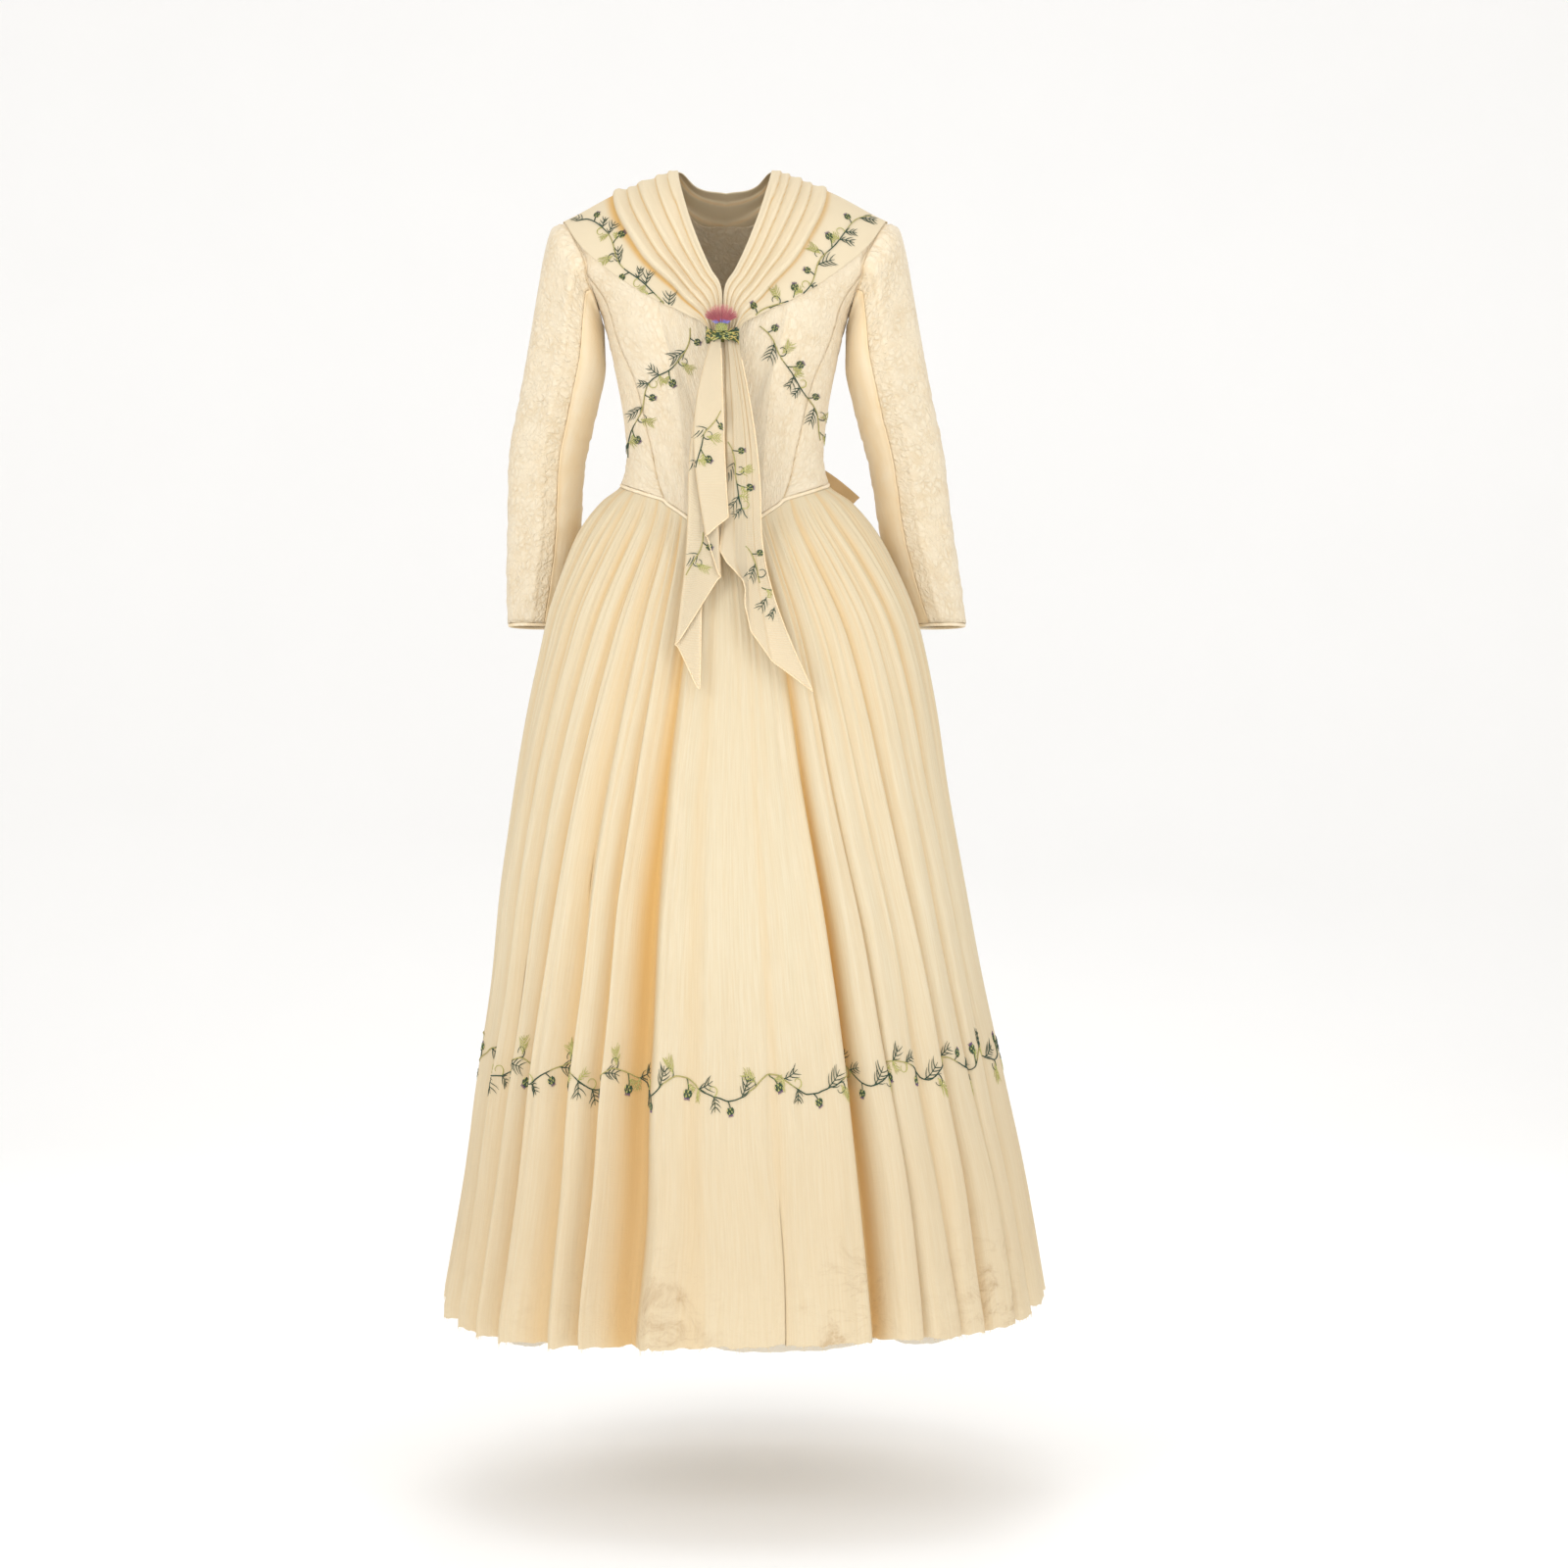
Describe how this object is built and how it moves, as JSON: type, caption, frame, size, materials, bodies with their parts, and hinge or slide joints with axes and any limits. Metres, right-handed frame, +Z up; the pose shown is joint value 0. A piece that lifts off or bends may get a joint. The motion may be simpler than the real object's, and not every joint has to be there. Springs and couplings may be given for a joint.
{
  "type": "wedding dress",
  "caption": "Long-sleeved wedding dress in an 18th-century style, worn pose: quilted fitted bodice, full gathered gauze skirt and a pleated kerchief gathered by an embroidered loop.",
  "frame": {"origin": "middle of the neck opening, level with the shoulder line, where a wearer or a stand holds the dress", "axes": "+Z up through the neck, -Y out of the dress's front, +X towards its left sleeve as worn (the viewer's right)"},
  "size_m": [0.6988, 0.7001, 1.348],
  "materials": {
    "quilted_cloth": "matt, quilted in a fine crinkle",
    "piping": "matt",
    "kerchief_gauze": "matt, sheer",
    "embroidered_loop": "matt, embroidered",
    "thistle_green": "matt, stitched",
    "thistle_pink": "matt threads",
    "satin_ribbon": "satin",
    "skirt_gauze": "matt, sheer, slubbed",
    "under_layer": "matt, sheer"
  },
  "bodies": {
    "root": {"bodice_back_left": "quilted_cloth", "bodice_back_right": "quilted_cloth", "bodice_front": "quilted_cloth", "bodice_side_left": "quilted_cloth", "bodice_side_right": "quilted_cloth", "cuff_binding_left": "piping", "cuff_binding_right": "piping", "kerchief_back": "kerchief_gauze", "kerchief_left": "kerchief_gauze", "kerchief_loop": "embroidered_loop", "kerchief_right": "kerchief_gauze", "sash_end_left": "satin_ribbon", "sash_end_right": "satin_ribbon", "sash_knot": "satin_ribbon", "sash_loop_left": "satin_ribbon", "sash_loop_right": "satin_ribbon", "skirt_back_left": "skirt_gauze", "skirt_back_middle": "skirt_gauze", "skirt_back_right": "skirt_gauze", "skirt_front": "skirt_gauze", "skirt_left_front": "skirt_gauze", "skirt_left_side": "skirt_gauze", "skirt_right_front": "skirt_gauze", "skirt_right_side": "skirt_gauze", "sleeve_top_left": "quilted_cloth", "sleeve_top_right": "quilted_cloth", "sleeve_under_left": "quilted_cloth", "sleeve_under_right": "quilted_cloth", "tail_left": "kerchief_gauze", "tail_right": "kerchief_gauze", "thistle_bulb": "thistle_green", "thistle_tuft": "thistle_pink", "underskirt_gore_1": "under_layer", "underskirt_gore_2": "under_layer", "underskirt_gore_3": "under_layer", "underskirt_gore_4": "under_layer", "underskirt_gore_5": "under_layer", "underskirt_gore_6": "under_layer", "underskirt_gore_7": "under_layer", "underskirt_gore_8": "under_layer", "underskirt_gore_9": "under_layer", "waist_piping": "piping"}
  },
  "joints": []
}
